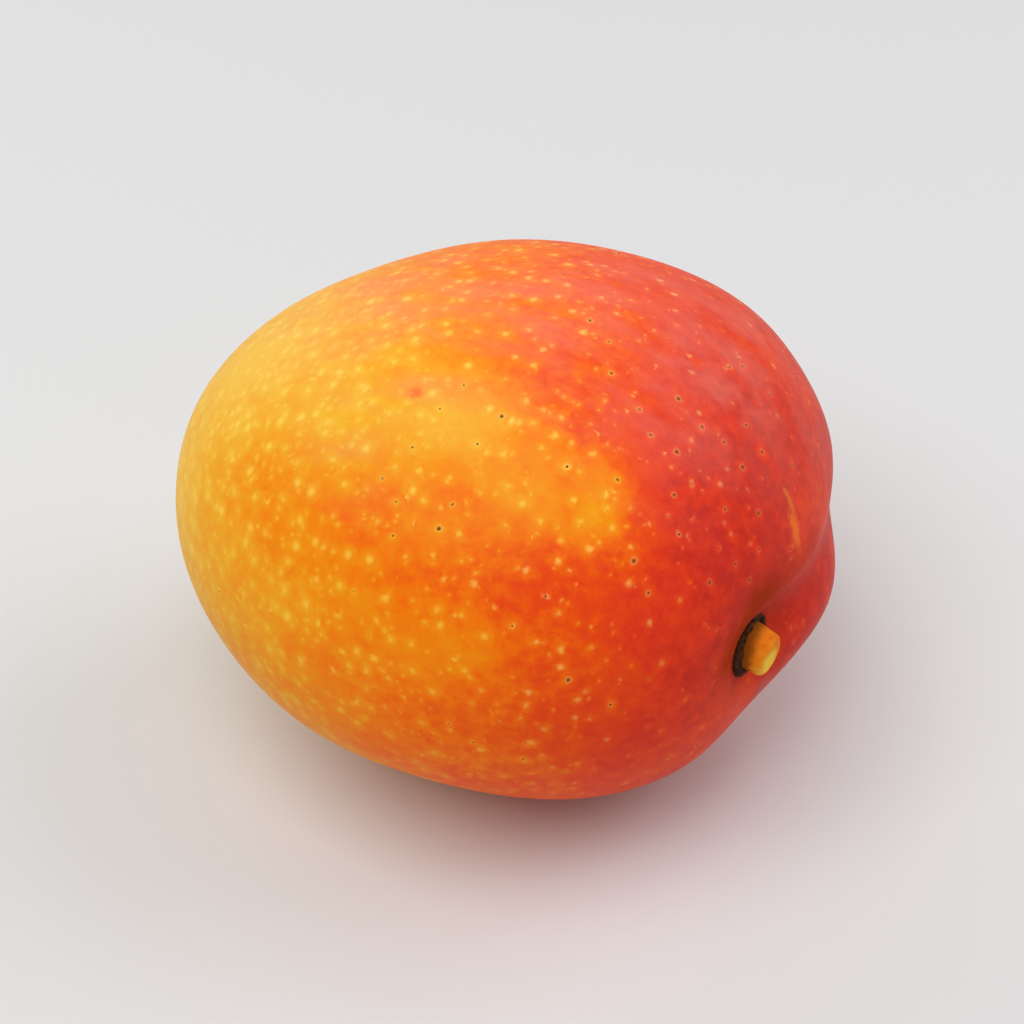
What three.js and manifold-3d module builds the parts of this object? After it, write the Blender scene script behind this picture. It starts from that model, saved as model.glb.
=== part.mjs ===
// A ripe mango lying on its flatter cheek. The fruit is one grown body; the dried collar
// and the broken stub of its stalk sit in the shallow cavity at the stem end.
// Millimetres. +X is the stem end, -X the apex, +Z is up, and the fruit rests on z = 0.

import * as THREE from 'three';
import * as BufferGeometryUtils from 'three/addons/utils/BufferGeometryUtils.js';
import Module from 'manifold-3d';

// The body: half sizes along X, Y and Z, before the swells and hollows below.
const HALF_LENGTH = 55;
const HALF_WIDTH = 51;
const HALF_THICKNESS = 42;
const STEM_END_SWELL = 0.115; // how much the girth grows from the middle to the stem end
const END_FULLNESS = 0.017; // how much blunter than an ellipse both ends are
const APEX_DRIFT = -2.6; // sideways shift of the apex along Y
const FACETS = 16; // subdivisions along an edge of the first icosahedron

// A place on the skin is given by two angles in degrees: 'along' is measured from +X
// towards -X, and 'round' turns about X from +Y through the top.
// Each swell raises the skin by 'height' at its middle and fades over 'spread' degrees.
const SWELLS = [
  { name: 'lobe beside the groove', along: 17, round: -38, spread: 9, height: 2.0 },
  { name: 'hollow under the stalk', along: 27, round: -95, spread: 8, height: -1.0 },
  { name: 'near shoulder', along: 46, round: -125, spread: 12, height: 0.5 },
  { name: 'flat below the near cheek', along: 84, round: -133, spread: 14, height: -1.3 },
  { name: 'low side of the apex', along: 138, round: -153, spread: 15, height: 0.4 },
  { name: 'high side of the apex', along: 160, round: 93, spread: 13, height: 0.7 },
  { name: 'crown of the upper cheek', along: 102, round: 48, spread: 15, height: 1.0 },
  { name: 'far shoulder', along: 58, round: 42, spread: 15, height: 1.35 },
  { name: 'lip of the groove', along: 31, round: 26, spread: 8, height: 0.6 },
  { name: 'beak beside the apex', along: 171, round: 10, spread: 6, height: 0.8 },
  { name: 'hollow above the stalk', along: 17, round: 165, spread: 6, height: -1.2 },
  { name: 'low side of the near cheek', along: 108, round: -153, spread: 14, height: 0.8 },
  { name: 'high shoulder of the apex', along: 138, round: 78, spread: 10, height: 0.5 },
];

// The stalk stands in a cavity, and grooves run out from it over the stem end.
const STALK_PLACE = { along: 15.8, round: -171 };
const CAVITY_DEPTH = 3.5;
const CAVITY_SPREAD = 8;
const GROOVES = [
  { name: 'groove over the stem end', along: 28, round: 5, spread: 5.5, depth: 3.4 },
  { name: 'fold below the stalk', along: 36, round: -112, spread: 5.5, depth: 1.2 },
];
const GROOVE_FADE = { riseFrom: -0.2, riseTo: 0.3, fallFrom: 0.35, fallTo: 1.4 };
const GROOVE_OPENING = { atStalk: 0.75, perLength: 0.45 }; // how its width grows along it

// The flat spot that the fruit's own weight presses on its lower cheek.
const REST_SPOT_DEPTH = 0.6;

// The stalk: its axis leans down from the skin's own normal.
const STALK_LEAN = 0.02;
const SEAT_RADIUS = 5.65;
const SEAT_DEPTH = 3;
const GAP = 0.3;
const COLLAR_OUTER_RADIUS = 5.3;
const COLLAR_HEIGHT = 1.7; // middle of the high and low sides
const COLLAR_HEIGHT_CHANGE = 1;
const COLLAR_HIGH_SIDE = 105; // degrees from the top, towards -Y
const COLLAR_STEPS = 32;
const STUB_RADIUS = 3.9;
const STUB_TIP_RADIUS = 3.6;
const STUB_HEIGHT = 5.5;
const STUB_EDGE_RADIUS = 1.2;
const STUB_TIP_SLANT = 0.15; // how steeply the broken end rises towards its longer side
const STUB_LONG_SIDE = 75; // degrees from the top, towards -Y
const STUB_STEPS = 28;

const UP = new THREE.Vector3(0, 0, 1);
const wasm = await Module();
wasm.setup();

function direction({ along, round }) {
  const a = THREE.MathUtils.degToRad(along);
  const r = THREE.MathUtils.degToRad(round);
  return new THREE.Vector3(Math.cos(a), Math.sin(a) * Math.cos(r), Math.sin(a) * Math.sin(r));
}

function bell(distance, spreadDegrees) {
  const spread = THREE.MathUtils.degToRad(spreadDegrees);
  return Math.exp(-(distance ** 2) / (2 * spread ** 2));
}

// Height of one groove at a direction: a valley along the arc from the stalk to its end.
function grooveRelief(u, groove) {
  const from = direction(STALK_PLACE);
  const to = direction(groove);
  const across = from.clone().cross(to).normalize();
  const onward = across.clone().cross(from);
  const travelled = Math.atan2(u.dot(onward), u.dot(from)) / from.angleTo(to);
  const rise = THREE.MathUtils.smoothstep(travelled, GROOVE_FADE.riseFrom, GROOVE_FADE.riseTo);
  const fall = THREE.MathUtils.smoothstep(travelled, GROOVE_FADE.fallFrom, GROOVE_FADE.fallTo);
  const opened = GROOVE_OPENING.atStalk + GROOVE_OPENING.perLength * travelled;
  const valley = bell(Math.asin(u.dot(across)) / opened, groove.spread);
  return -groove.depth * valley * rise * (1 - fall);
}

function relief(u) {
  let height = -CAVITY_DEPTH * bell(u.distanceTo(direction(STALK_PLACE)), CAVITY_SPREAD);
  for (const groove of GROOVES) {
    height += grooveRelief(u, groove);
  }
  for (const swell of SWELLS) {
    height += swell.height * bell(u.distanceTo(direction(swell)), swell.spread);
  }
  return height;
}

function bodyNormal(u) {
  return new THREE.Vector3(u.x / HALF_LENGTH, u.y / HALF_WIDTH, u.z / HALF_THICKNESS).normalize();
}

function skinPoint(u) {
  const girth = 1 + STEM_END_SWELL * u.x + END_FULLNESS * u.x ** 2;
  const drift = APEX_DRIFT * ((1 - u.x) / 2) ** 2;
  const point = new THREE.Vector3(
    HALF_LENGTH * u.x,
    HALF_WIDTH * u.y * girth + drift,
    HALF_THICKNESS * u.z * girth,
  );
  return point.addScaledVector(bodyNormal(u), relief(u));
}

function solidOf(geometry) {
  const bare = geometry.clone();
  bare.deleteAttribute('normal');
  bare.deleteAttribute('uv');
  const merged = BufferGeometryUtils.mergeVertices(bare);
  return new wasm.Manifold(new wasm.Mesh({
    numProp: 3,
    vertProperties: new Float32Array(merged.attributes.position.array),
    triVerts: new Uint32Array(merged.index.array),
  }));
}

function geometryOf(solid) {
  const mesh = solid.getMesh();
  const geometry = new THREE.BufferGeometry();
  geometry.setAttribute('position', new THREE.BufferAttribute(mesh.vertProperties, 3));
  geometry.setIndex(new THREE.BufferAttribute(mesh.triVerts, 1));
  geometry.computeVertexNormals();
  return geometry;
}

// Moves every corner of a geometry with a function that changes a vector.
function reshape(geometry, change) {
  const positions = geometry.attributes.position;
  const corner = new THREE.Vector3();
  for (let i = 0; i < positions.count; i += 1) {
    corner.fromBufferAttribute(positions, i);
    change(corner);
    positions.setXYZ(i, corner.x, corner.y, corner.z);
  }
  return geometry;
}

// The stalk's own frame: Y runs out along the stalk, X points up the fruit's end.
function stalkFrame() {
  const place = direction(STALK_PLACE);
  const axis = bodyNormal(place).addScaledVector(UP, -STALK_LEAN).normalize();
  const top = UP.clone().addScaledVector(axis, -UP.dot(axis)).normalize();
  const side = top.clone().cross(axis);
  return new THREE.Matrix4().makeBasis(top, axis, side).setPosition(skinPoint(place));
}

function named(name, geometry, color, roughness) {
  const material = new THREE.MeshStandardMaterial({ color, roughness, metalness: 0 });
  const mesh = new THREE.Mesh(geometry, material);
  mesh.name = name;
  return mesh;
}

// The grown fruit, pressed flat where it rests and with a level seat under the stalk.
function makeFruit() {
  const sphere = new THREE.IcosahedronGeometry(1, FACETS);
  const skin = reshape(sphere, (corner) => corner.copy(skinPoint(corner.clone().normalize())));
  skin.computeBoundingBox();
  const floorSize = 4 * HALF_LENGTH;
  const floorTop = skin.boundingBox.min.z + REST_SPOT_DEPTH;
  const floor = new THREE.BoxGeometry(floorSize, floorSize, floorSize);
  floor.translate(0, 0, floorTop - floorSize / 2);
  const seat = new THREE.CylinderGeometry(SEAT_RADIUS, SEAT_RADIUS, SEAT_DEPTH, COLLAR_STEPS);
  seat.translate(0, SEAT_DEPTH / 2, 0);
  seat.applyMatrix4(stalkFrame());
  const fruit = solidOf(skin).subtract(solidOf(floor)).subtract(solidOf(seat));
  return named('fruit', geometryOf(fruit), 0xf0602a, 0.42);
}

// A low corky ring round the foot of the stalk, tallest on the side towards -Y.
function makeCollar() {
  const inner = STUB_RADIUS + GAP;
  const outline = [
    new THREE.Vector2(inner, 0),
    new THREE.Vector2(COLLAR_OUTER_RADIUS, 0),
    new THREE.Vector2(COLLAR_OUTER_RADIUS, 0.7),
    new THREE.Vector2((inner + COLLAR_OUTER_RADIUS) / 2, 1),
    new THREE.Vector2(inner, 0.8),
    new THREE.Vector2(inner, 0),
  ];
  const highSide = THREE.MathUtils.degToRad(COLLAR_HIGH_SIDE);
  const ring = reshape(new THREE.LatheGeometry(outline, COLLAR_STEPS), (corner) => {
    const turn = Math.atan2(-corner.z, corner.x);
    corner.y *= COLLAR_HEIGHT + COLLAR_HEIGHT_CHANGE * Math.cos(turn - highSide);
    corner.y += GAP;
  });
  ring.applyMatrix4(stalkFrame());
  return named('stem_collar', geometryOf(solidOf(ring)), 0x3b281c, 0.9);
}

// The stalk's remnant: a short tapered plug with a rounded edge and a slanted broken end.
function makeStub() {
  const profile = new THREE.Path();
  profile.moveTo(0, 0);
  profile.lineTo(STUB_RADIUS, 0);
  profile.lineTo(STUB_TIP_RADIUS, STUB_HEIGHT - STUB_EDGE_RADIUS);
  profile.quadraticCurveTo(
    STUB_TIP_RADIUS, STUB_HEIGHT,
    STUB_TIP_RADIUS - STUB_EDGE_RADIUS, STUB_HEIGHT,
  );
  profile.lineTo(0, STUB_HEIGHT);
  const longSide = THREE.MathUtils.degToRad(STUB_LONG_SIDE);
  const plug = reshape(new THREE.LatheGeometry(profile.getPoints(4), STUB_STEPS), (corner) => {
    const reach = corner.x * Math.cos(longSide) - corner.z * Math.sin(longSide);
    corner.y += GAP + (corner.y / STUB_HEIGHT) * STUB_TIP_SLANT * reach;
  });
  plug.applyMatrix4(stalkFrame());
  return named('stem_stub', geometryOf(solidOf(plug)), 0xdd8a1f, 0.7);
}

const group = new THREE.Group();
group.add(makeFruit(), makeCollar(), makeStub());

// The origin is under the middle of the whole object, on the surface it rests on.
const bounds = new THREE.Box3().setFromObject(group);
const middle = bounds.getCenter(new THREE.Vector3());
group.position.set(-middle.x, -middle.y, -bounds.min.z);

export default group;
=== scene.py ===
import math
import bmesh
import bpy
import numpy as np
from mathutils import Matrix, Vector


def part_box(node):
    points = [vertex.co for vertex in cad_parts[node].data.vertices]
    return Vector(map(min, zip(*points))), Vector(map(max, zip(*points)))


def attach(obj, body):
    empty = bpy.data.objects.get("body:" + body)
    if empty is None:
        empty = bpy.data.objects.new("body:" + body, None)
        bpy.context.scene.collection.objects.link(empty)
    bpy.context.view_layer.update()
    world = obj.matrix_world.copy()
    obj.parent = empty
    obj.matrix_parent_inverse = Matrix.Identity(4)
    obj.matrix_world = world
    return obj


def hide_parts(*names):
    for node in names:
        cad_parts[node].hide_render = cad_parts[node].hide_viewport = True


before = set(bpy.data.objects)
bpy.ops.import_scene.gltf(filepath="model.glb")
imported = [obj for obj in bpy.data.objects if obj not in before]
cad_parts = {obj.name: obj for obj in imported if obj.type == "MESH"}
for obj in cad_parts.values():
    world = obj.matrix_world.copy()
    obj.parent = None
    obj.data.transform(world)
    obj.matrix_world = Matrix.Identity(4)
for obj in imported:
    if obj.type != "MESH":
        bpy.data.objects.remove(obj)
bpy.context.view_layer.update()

# The whole fruit with its peel: a heavy, slightly flattened round body that swelled round one flat stone,
# fuller at the stalk end, with a groove from the stalk over the end and a short beak beside the apex.
# It grew in one piece, from 'along' 0 at the stalk end to 180 at the apex; 'round' is 90 at the top.
mm = 0.001
half_length = 55 * mm
half_width = 51 * mm
half_thickness = 42 * mm
stem_end_swell = 0.115
end_fullness = 0.017
apex_drift = -2.6 * mm
rest_spot_depth = 0.6 * mm
ripple_height = 0.16 * mm
ripple_length = 13 * mm
stalk_place = (15.8, -171)
cavity_depth = 3.5 * mm
cavity_spread = 8
grid_divisions = 127

# Each swell or hollow: where it is along and round the fruit and how wide it is, in degrees, then its
# height in millimetres. Each groove says the same, with the place that it runs through and its depth.
swells = [
    ("lobe beside the groove", 17, -38, 9, 2.0),
    ("hollow under the stalk", 27, -95, 8, -1.0),
    ("near shoulder", 46, -125, 12, 0.5),
    ("flat below the near cheek", 84, -133, 14, -1.3),
    ("low side of the apex", 138, -153, 15, 0.4),
    ("high side of the apex", 160, 93, 13, 0.7),
    ("crown of the upper cheek", 102, 48, 15, 1.0),
    ("far shoulder", 58, 42, 15, 1.35),
    ("lip of the groove", 31, 26, 8, 0.6),
    ("beak beside the apex", 171, 10, 6, 0.8),
    ("hollow above the stalk", 17, 165, 6, -1.2),
    ("low side of the near cheek", 108, -153, 14, 0.8),
    ("high shoulder of the apex", 138, 78, 10, 0.5),
]
grooves = [
    ("groove over the stem end", 28, 5, 5.5, 3.4),
    ("fold below the stalk", 36, -112, 5.5, 1.2),
]
groove_width_at_stalk = 0.75
groove_widening = 0.45
groove_rise = (-0.2, 0.3)
groove_fade = (0.35, 1.4)


def direction(along, turn):
    """The direction of growth at a place on the fruit, from two angles in degrees."""
    tilt = math.radians(along)
    spin = math.radians(turn)
    return Vector((math.cos(tilt), math.sin(tilt) * math.cos(spin), math.sin(tilt) * math.sin(spin)))


def node(tree, kind, inputs=None, **settings):
    """Adds one node, with its settings and with a value or a link for each named input."""
    made = tree.nodes.new(kind)
    for name, setting in settings.items():
        setattr(made, name, setting)
    for key, given in (inputs or {}).items():
        socket = made.inputs[key]
        if isinstance(given, bpy.types.NodeSocket):
            tree.links.new(given, socket)
        else:
            socket.default_value = given
    return made


def new_tree(name, inputs):
    """A Geometry Nodes tree with a geometry input and output and the named number inputs."""
    tree = bpy.data.node_groups.new(name, "GeometryNodeTree")
    tree.interface.new_socket(name="Geometry", in_out="INPUT", socket_type="NodeSocketGeometry")
    tree.interface.new_socket(name="Geometry", in_out="OUTPUT", socket_type="NodeSocketGeometry")
    for label in inputs:
        tree.interface.new_socket(name=label, in_out="INPUT", socket_type="NodeSocketFloat")
    return tree


def plain_mesh(tree, sizes, start, name):
    """Runs a tree on a start mesh with the given sizes and keeps the result as a plain object."""
    holder = bpy.data.objects.new("holder", start)
    bpy.context.collection.objects.link(holder)
    modifier = holder.modifiers.new("grown", "NODES")
    modifier.node_group = tree
    for socket in tree.interface.items_tree:
        if socket.in_out == "INPUT" and socket.name in sizes:
            modifier[socket.identifier] = sizes[socket.name]
    graph = bpy.context.evaluated_depsgraph_get()
    mesh = bpy.data.meshes.new_from_object(holder.evaluated_get(graph), preserve_all_data_layers=True,
                                           depsgraph=graph)
    holder.modifiers.remove(modifier)
    bpy.data.objects.remove(holder)
    mesh.name = name
    piece = bpy.data.objects.new(name, mesh)
    bpy.context.collection.objects.link(piece)
    return piece


def linear(code):
    """An sRGB hex colour as the linear colour that a shader works with."""
    channels = [int(code[i : i + 2], 16) / 255 for i in (1, 3, 5)]
    return [c / 12.92 if c <= 0.04045 else ((c + 0.055) / 1.055) ** 2.4 for c in channels] + [1]


peel = bpy.data.materials.new("ripe mango peel")
body_sizes = {
    "Half Length": half_length,
    "Half Width": half_width,
    "Half Thickness": half_thickness,
    "Stem End Swell": stem_end_swell,
    "End Fullness": end_fullness,
    "Apex Drift": apex_drift,
    "Rest Spot Depth": rest_spot_depth,
    "Ripple Height": ripple_height,
    "Ripple Length": ripple_length,
}
body = new_tree("mango body", body_sizes)
sizes_in = node(body, "NodeGroupInput").outputs

# A cube with its grid spread evenly over a ball: each point's direction of growth is kept for the peel.
cube = node(body, "GeometryNodeMeshCube",
            {"Size": (2, 2, 2), "Vertices X": grid_divisions + 1, "Vertices Y": grid_divisions + 1,
             "Vertices Z": grid_divisions + 1})
cube_place = node(body, "GeometryNodeInputPosition").outputs[0]
angle = node(body, "ShaderNodeVectorMath", {0: cube_place, "Scale": math.pi / 4},
             operation="SCALE").outputs[0]
tangent = node(body, "ShaderNodeVectorMath", {0: angle}, operation="TANGENT").outputs[0]
growing = node(body, "ShaderNodeVectorMath", {0: tangent}, operation="NORMALIZE").outputs[0]
ball = node(body, "GeometryNodeStoreNamedAttribute",
            {"Geometry": cube.outputs["Mesh"], "Name": "growing", "Value": growing},
            data_type="FLOAT_VECTOR", domain="POINT")
grown = node(body, "GeometryNodeInputNamedAttribute", {"Name": "growing"},
             data_type="FLOAT_VECTOR").outputs[0]
part = node(body, "ShaderNodeSeparateXYZ", {0: grown}).outputs

# The cavity and the swells are soft bells of height on the ball.
relief = 0.0
bells = [("cavity", *stalk_place, cavity_spread, -cavity_depth / mm)] + swells
for label, along, turn, spread, height in bells:
    apart = node(body, "ShaderNodeVectorMath", {0: grown, 1: direction(along, turn)}, operation="DISTANCE")
    squared = node(body, "ShaderNodeMath", {0: apart.outputs["Value"], 1: 2.0}, operation="POWER").outputs[0]
    fall = node(body, "ShaderNodeMath", {0: squared, 1: -0.5 / math.radians(spread) ** 2},
                operation="MULTIPLY")
    bell = node(body, "ShaderNodeMath", {0: fall.outputs[0]}, operation="EXPONENT", label=label).outputs[0]
    relief = node(body, "ShaderNodeMath", {0: bell, 1: height * mm, 2: relief},
                  operation="MULTIPLY_ADD").outputs[0]

# Each groove starts at the stalk, runs through its place, opens out and fades beyond it. The distance
# travelled is 0 at the stalk and 1 at that place.
for label, along, turn, spread, depth in grooves:
    start = direction(*stalk_place)
    across = start.cross(direction(along, turn)).normalized()
    onward = across.cross(start)
    side = node(body, "ShaderNodeVectorMath", {0: grown, 1: across}, operation="DOT_PRODUCT").outputs["Value"]
    ahead = node(body, "ShaderNodeVectorMath", {0: grown, 1: onward},
                 operation="DOT_PRODUCT").outputs["Value"]
    back = node(body, "ShaderNodeVectorMath", {0: grown, 1: start}, operation="DOT_PRODUCT").outputs["Value"]
    turned = node(body, "ShaderNodeMath", {0: ahead, 1: back}, operation="ARCTAN2").outputs[0]
    travelled = node(body, "ShaderNodeMath", {0: turned, 1: start.angle(direction(along, turn))},
                     operation="DIVIDE")
    offset = node(body, "ShaderNodeMath", {0: side}, operation="ARCSINE").outputs[0]
    opened = node(body, "ShaderNodeMath",
                  {0: travelled.outputs[0], 1: groove_widening, 2: groove_width_at_stalk},
                  operation="MULTIPLY_ADD")
    share = node(body, "ShaderNodeMath", {0: offset, 1: opened.outputs[0]}, operation="DIVIDE").outputs[0]
    squared = node(body, "ShaderNodeMath", {0: share, 1: 2.0}, operation="POWER").outputs[0]
    fall = node(body, "ShaderNodeMath", {0: squared, 1: -0.5 / math.radians(spread) ** 2},
                operation="MULTIPLY")
    bell = node(body, "ShaderNodeMath", {0: fall.outputs[0]}, operation="EXPONENT", label=label).outputs[0]
    rise = node(body, "ShaderNodeMapRange",
                {"Value": travelled.outputs[0], "From Min": groove_rise[0], "From Max": groove_rise[1]},
                interpolation_type="SMOOTHSTEP").outputs[0]
    fade = node(body, "ShaderNodeMapRange",
                {"Value": travelled.outputs[0], "From Min": groove_fade[0], "From Max": groove_fade[1],
                 "To Min": 1, "To Max": 0}, interpolation_type="SMOOTHSTEP").outputs[0]
    held = node(body, "ShaderNodeMath", {0: rise, 1: fade}, operation="MULTIPLY").outputs[0]
    cut = node(body, "ShaderNodeMath", {0: bell, 1: held}, operation="MULTIPLY").outputs[0]
    relief = node(body, "ShaderNodeMath", {0: cut, 1: -depth * mm, 2: relief},
                  operation="MULTIPLY_ADD").outputs[0]

# The long girth law, the drift of the apex, and the ripples that any grown skin has.
fuller = node(body, "ShaderNodeMath", {0: part[0], 1: sizes_in["End Fullness"],
                                       2: sizes_in["Stem End Swell"]}, operation="MULTIPLY_ADD").outputs[0]
girth = node(body, "ShaderNodeMath", {0: fuller, 1: part[0], 2: 1.0}, operation="MULTIPLY_ADD").outputs[0]
behind = node(body, "ShaderNodeMath", {0: part[0], 1: -0.5, 2: 0.5}, operation="MULTIPLY_ADD").outputs[0]
behind_squared = node(body, "ShaderNodeMath", {0: behind, 1: 2.0}, operation="POWER").outputs[0]
drift = node(body, "ShaderNodeMath", {0: behind_squared, 1: sizes_in["Apex Drift"]},
             operation="MULTIPLY").outputs[0]
halves = node(body, "ShaderNodeCombineXYZ", {0: sizes_in["Half Length"], 1: sizes_in["Half Width"],
                                             2: sizes_in["Half Thickness"]}).outputs[0]
girths = node(body, "ShaderNodeCombineXYZ", {0: 1.0, 1: girth, 2: girth}).outputs[0]
egg = node(body, "ShaderNodeVectorMath", {0: grown, 1: halves}, operation="MULTIPLY").outputs[0]
full_egg = node(body, "ShaderNodeVectorMath", {0: egg, 1: girths}, operation="MULTIPLY").outputs[0]
aside = node(body, "ShaderNodeCombineXYZ", {1: drift}).outputs[0]
smooth_skin = node(body, "ShaderNodeVectorMath", {0: full_egg, 1: aside}, operation="ADD").outputs[0]
steep = node(body, "ShaderNodeVectorMath", {0: grown, 1: halves}, operation="DIVIDE").outputs[0]
outward = node(body, "ShaderNodeVectorMath", {0: steep}, operation="NORMALIZE").outputs[0]
finer = node(body, "ShaderNodeMath", {0: 1.0, 1: sizes_in["Ripple Length"]}, operation="DIVIDE").outputs[0]
waves = node(body, "ShaderNodeTexNoise",
             {"Vector": smooth_skin, "Scale": finer, "Detail": 2.0, "Roughness": 0.45})
centred = node(body, "ShaderNodeMath", {0: waves.outputs[0], 1: 0.5}, operation="SUBTRACT").outputs[0]
height = node(body, "ShaderNodeMath", {0: centred, 1: sizes_in["Ripple Height"], 2: relief},
              operation="MULTIPLY_ADD").outputs[0]
raised = node(body, "ShaderNodeVectorMath", {0: outward, "Scale": height}, operation="SCALE").outputs[0]
skin_place = node(body, "ShaderNodeVectorMath", {0: smooth_skin, 1: raised}, operation="ADD").outputs[0]
shaped = node(body, "GeometryNodeSetPosition", {"Geometry": ball.outputs[0], "Position": skin_place})

# The small flat spot that the fruit rests on.
place = node(body, "GeometryNodeInputPosition").outputs[0]
axes = node(body, "ShaderNodeSeparateXYZ", {0: place}).outputs
lowest = node(body, "GeometryNodeAttributeStatistic", {"Geometry": shaped.outputs[0], "Attribute": axes[2]})
floor_level = node(body, "ShaderNodeMath", {0: lowest.outputs["Min"], 1: sizes_in["Rest Spot Depth"]},
                   operation="ADD").outputs[0]
flattened = node(body, "ShaderNodeMath", {0: axes[2], 1: floor_level}, operation="MAXIMUM").outputs[0]
rested = node(body, "ShaderNodeCombineXYZ", {0: axes[0], 1: axes[1], 2: flattened}).outputs[0]
resting = node(body, "GeometryNodeSetPosition", {"Geometry": shaped.outputs[0], "Position": rested})
smooth = node(body, "GeometryNodeSetShadeSmooth", {"Geometry": resting.outputs[0]})
realized = node(body, "GeometryNodeRealizeInstances", {"Geometry": smooth.outputs[0]})
covered = node(body, "GeometryNodeSetMaterial", {"Geometry": realized.outputs[0], "Material": peel})
node(body, "NodeGroupOutput", {"Geometry": covered.outputs[0]})

fruit = plain_mesh(body, body_sizes, bpy.data.meshes.new("start"), "mango_fruit")
count = len(fruit.data.vertices)
growth = np.empty(count * 3)
fruit.data.attributes["growing"].data.foreach_get("vector", growth)
growth = growth.reshape(count, 3)
points = np.empty(count * 3)
fruit.data.vertices.foreach_get("co", points)
points = points.reshape(count, 3)
low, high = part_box("fruit")
middle = (points.min(axis=0) + points.max(axis=0)) / 2
points += [(low.x + high.x) / 2 - middle[0], (low.y + high.y) / 2 - middle[1], -points[:, 2].min()]
fruit.data.vertices.foreach_set("co", points.ravel())
fruit.data.update()


def band(start, end, spread):
    """How near each point of the skin is to a line between two places: 1 on it, fading softly."""
    first = np.array(direction(*start))
    line = np.array(direction(*end)) - first
    share = np.clip((growth - first) @ line / max(line @ line, 1e-9), 0, 1)
    apart = growth - first - share[:, None] * line
    return np.exp(-(apart**2).sum(axis=1) / (2 * math.radians(spread) ** 2))


def skin_point(along, turn):
    """The point of the skin at a place on the fruit."""
    return points[np.argmax(growth @ np.array(direction(along, turn)))]


def keep(name, values):
    """Stores one number for each point of the skin, for the peel to read."""
    layer = fruit.data.attributes.new(name, "FLOAT", "POINT")
    layer.data.foreach_set("value", np.clip(values, 0, 1).astype(np.float32))


# Blush: how red the peel is. It deepens towards the stalk and on the far, sunny side, in soft tongues, each
# between two places, with its spread in degrees and what it adds.
sunny = growth @ np.array(direction(90, 30))
blush = 0.51 + 0.47 * growth[:, 0] + 0.11 * sunny
blush_patches = [
    ("yellow wisp on the upper cheek", (84, 121), (60, 127), 6.5, -0.36),
    ("yellow edge of the wisp", (88, 122), (80, 138), 8, -0.09),
    ("lower edge of the wisp", (72, 134), (60, 135), 4.5, -0.13),
    ("red tongue above the end of the wisp", (48, 122), (44, 126), 5, 0.08),
    ("red cheek beside the stalk", (46, 102), (52, 92), 10, 0.08),
    ("orange top of the upper cheek", (80, 94), (66, 90), 11, -0.09),
    ("golden shoulder of the apex", (108, 114), (130, 106), 16, -0.21),
    ("orange saddle of the near cheek", (119, 141), (102, 143), 9, 0.11),
    ("yellow patch low on the near cheek", (80, 165), (72, 162), 5.5, -0.15),
    ("deeper gold below the apex", (112, -164), (118, -150), 16, 0.06),
    ("red flank beside the stalk", (34, 134), (33, 162), 7, 0.04),
    ("orange patch low beside the stalk", (55, 160), (50, 168), 5, -0.08),
    ("paler lip of the groove", (16, 70), (17, 88), 7, -0.17),
    ("paler skin below the stalk", (16, -140), (26, -142), 6, -0.09),
    ("red neck above the stalk", (22, 132), (22, 132), 5, 0.13),
    ("red below the end of the wisp", (59, 150), (62, 145), 5, 0.08),
    ("orange crest of the upper cheek", (87, 117), (94, 115), 7, 0.10),
    ("orange streak inside the wisp", (83, 132), (76, 137), 3.5, 0.10),
    ("orange notch in the wisp", (76, 121), (72, 125), 2.8, 0.09),
    ("orange fleck in the wisp", (65, 126), (63, 130), 2.0, 0.13),
    ("orange edge above the wisp", (67, 115), (65, 118), 2.5, 0.06),
    ("yellow start of the wisp", (81, 114), (79, 118), 2.8, -0.11),
    ("pale rim of the far shoulder", (36, 52), (47, 62), 6, -0.09),
    ("golden brow of the near cheek", (102, 125), (94, 114), 6, -0.10),
    ("golden crown", (93, 68), (93, 70), 5, -0.08),
    ("orange dab above the wisp", (78, 99), (77, 101), 4, 0.08),
    ("yellow fleck low on the near cheek", (61, 155), (59, 156), 2.5, -0.11),
    ("orange belly", (84, -157), (86, -160), 6, 0.08),
    ("deep red under the stub", (13, -114), (8, -108), 5, 0.08),
]
for label, start, end, spread, amount in blush_patches:
    blush += amount * band(start, end, spread)
keep("blush", blush)

# Dots crowd together towards the apex and are fainter below and near the stalk. A pale film lies on the upper
# cheek, partly wax bloom and partly a painted sheen, and painted shade darkens the peel brown round the
# stalk.
keep("dotted", 0.62 - 0.42 * growth[:, 0])
by_stalk = np.clip((growth[:, 0] - 0.55) / 0.35, 0, 1)
keep("vivid", (0.58 + 0.45 * growth[:, 2]) * (1 - 0.5 * by_stalk))
# A pale film on the upper cheek and upper right rim: partly wax bloom, partly a painted sheen.
keep("bloom_and_sheen", 1.0 * band((44, 52), (60, 88), 17) + 1.1 * band((76, 82), (114, 90), 14)
     + 0.5 * band((100, 128), (95, 118), 8))
# Painted shade: brown in the hollow round the stalk, in the fold below it and along the groove above it.
keep("stalk_hollow_shade", 0.9 * band(stalk_place, stalk_place, 6.5) + 0.75 * band((24, 174), (20, 146), 3.4)
     + 0.3 * band((20, 144), (11, 90), 3))

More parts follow.
